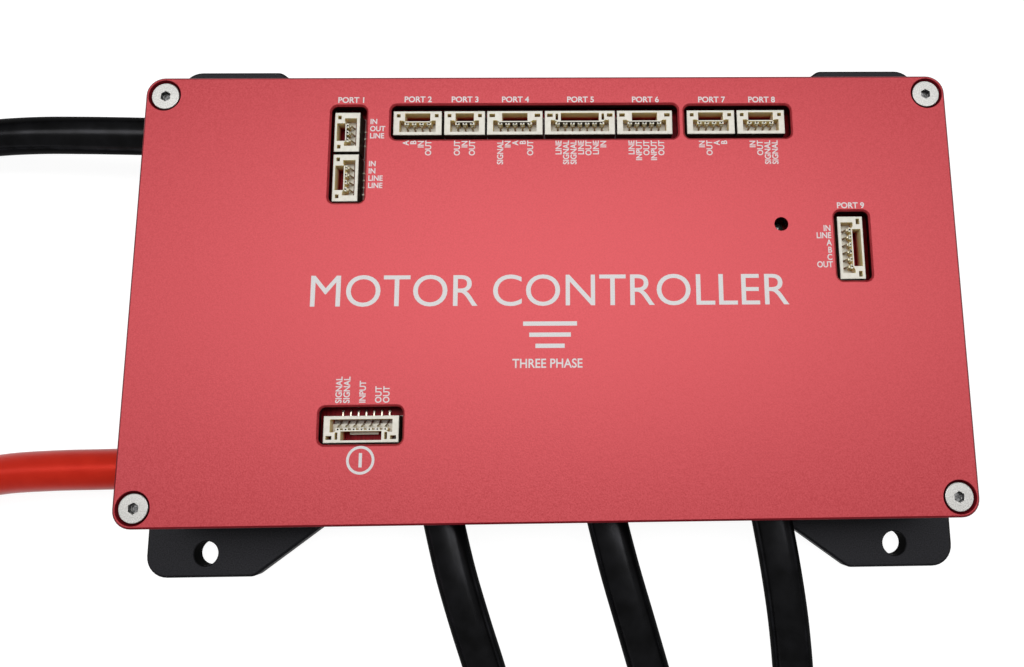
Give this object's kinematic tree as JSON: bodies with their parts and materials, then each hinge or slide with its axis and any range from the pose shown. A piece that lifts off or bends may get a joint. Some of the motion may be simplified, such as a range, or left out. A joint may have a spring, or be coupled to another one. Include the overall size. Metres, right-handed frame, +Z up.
{
  "type": "electronic speed controller",
  "caption": "Slim aluminium-cased brushless motor controller with a red screwed cover, black base with bolt-down ears, top-entry signal headers, and battery and phase leads.",
  "frame": {"origin": "middle of the case's underside, on the surface it stands on; the leads and their tinned ends are left out of this box", "axes": "+X along the case, away from the battery leads; +Y from the phase-lead side to the signal-header side; +Z up, out of the cover"},
  "size_m": [0.2101, 0.1807, 0.024],
  "materials": {
    "cover_anodised": "red anodised over a fine bead-blast grain, satin",
    "base_anodised": "black anodised, satin",
    "stainless": "turned stainless steel, bright",
    "brass": "machined brass",
    "tinned_copper": "tinned copper strands, dull bright",
    "header_plastic": "moulded ivory nylon, satin",
    "circuit_board": "dark red solder mask, semi-gloss",
    "thermal_pad": "soft grey silicone, matt",
    "transistor_body": "black moulded epoxy",
    "capacitor_can": "bare drawn aluminium can",
    "connector_plastic": "black moulded plastic",
    "indicator_lens": "clear moulded lamp lens",
    "grommet_rubber": "black rubber, matt",
    "lead_black": "black silicone insulation, satin",
    "lead_red": "red silicone insulation, satin"
  },
  "bodies": {
    "root": {"top_cover": "cover_anodised", "base_housing": "base_anodised", "cover_screw_back_left": "stainless", "cover_screw_back_right": "stainless", "cover_screw_front_left": "stainless", "cover_screw_front_right": "stainless", "logic_board": "circuit_board", "power_board": "circuit_board", "thermal_pad": "thermal_pad", "standoff_back_left": "brass", "board_screw_back_left": "stainless", "standoff_back_right": "brass", "board_screw_back_right": "stainless", "standoff_front_left": "brass", "board_screw_front_left": "stainless", "standoff_front_right": "brass", "board_screw_front_right": "stainless", "header_aux_upper": "header_plastic", "header_aux_lower": "header_plastic", "header_power_button": "header_plastic", "header_servo": "header_plastic", "header_can_bus": "header_plastic", "header_serial": "header_plastic", "header_debug": "header_plastic", "header_data": "header_plastic", "header_radio": "header_plastic", "header_rotor_sensor": "header_plastic", "header_ignition": "header_plastic", "transistor_a_high_side": "transistor_body", "transistor_a_low_side": "transistor_body", "transistor_b_high_side": "transistor_body", "transistor_b_low_side": "transistor_body", "transistor_c_high_side": "transistor_body", "transistor_c_low_side": "transistor_body", "capacitor_1": "capacitor_can", "capacitor_2": "capacitor_can", "capacitor_3": "capacitor_can", "capacitor_4": "capacitor_can", "board_link": "connector_plastic", "indicator_lens": "indicator_lens", "terminal_battery_negative": "brass", "grommet_battery_negative": "grommet_rubber", "lead_battery_negative": "lead_black", "tinned_end_battery_negative": "tinned_copper", "terminal_battery_positive": "brass", "grommet_battery_positive": "grommet_rubber", "lead_battery_positive": "lead_red", "tinned_end_battery_positive": "tinned_copper", "terminal_phase_a": "brass", "grommet_phase_a": "grommet_rubber", "lead_phase_a": "lead_black", "tinned_end_phase_a": "tinned_copper", "terminal_phase_b": "brass", "grommet_phase_b": "grommet_rubber", "lead_phase_b": "lead_black", "tinned_end_phase_b": "tinned_copper", "terminal_phase_c": "brass", "grommet_phase_c": "grommet_rubber", "lead_phase_c": "lead_black", "tinned_end_phase_c": "tinned_copper"}
  },
  "joints": []
}
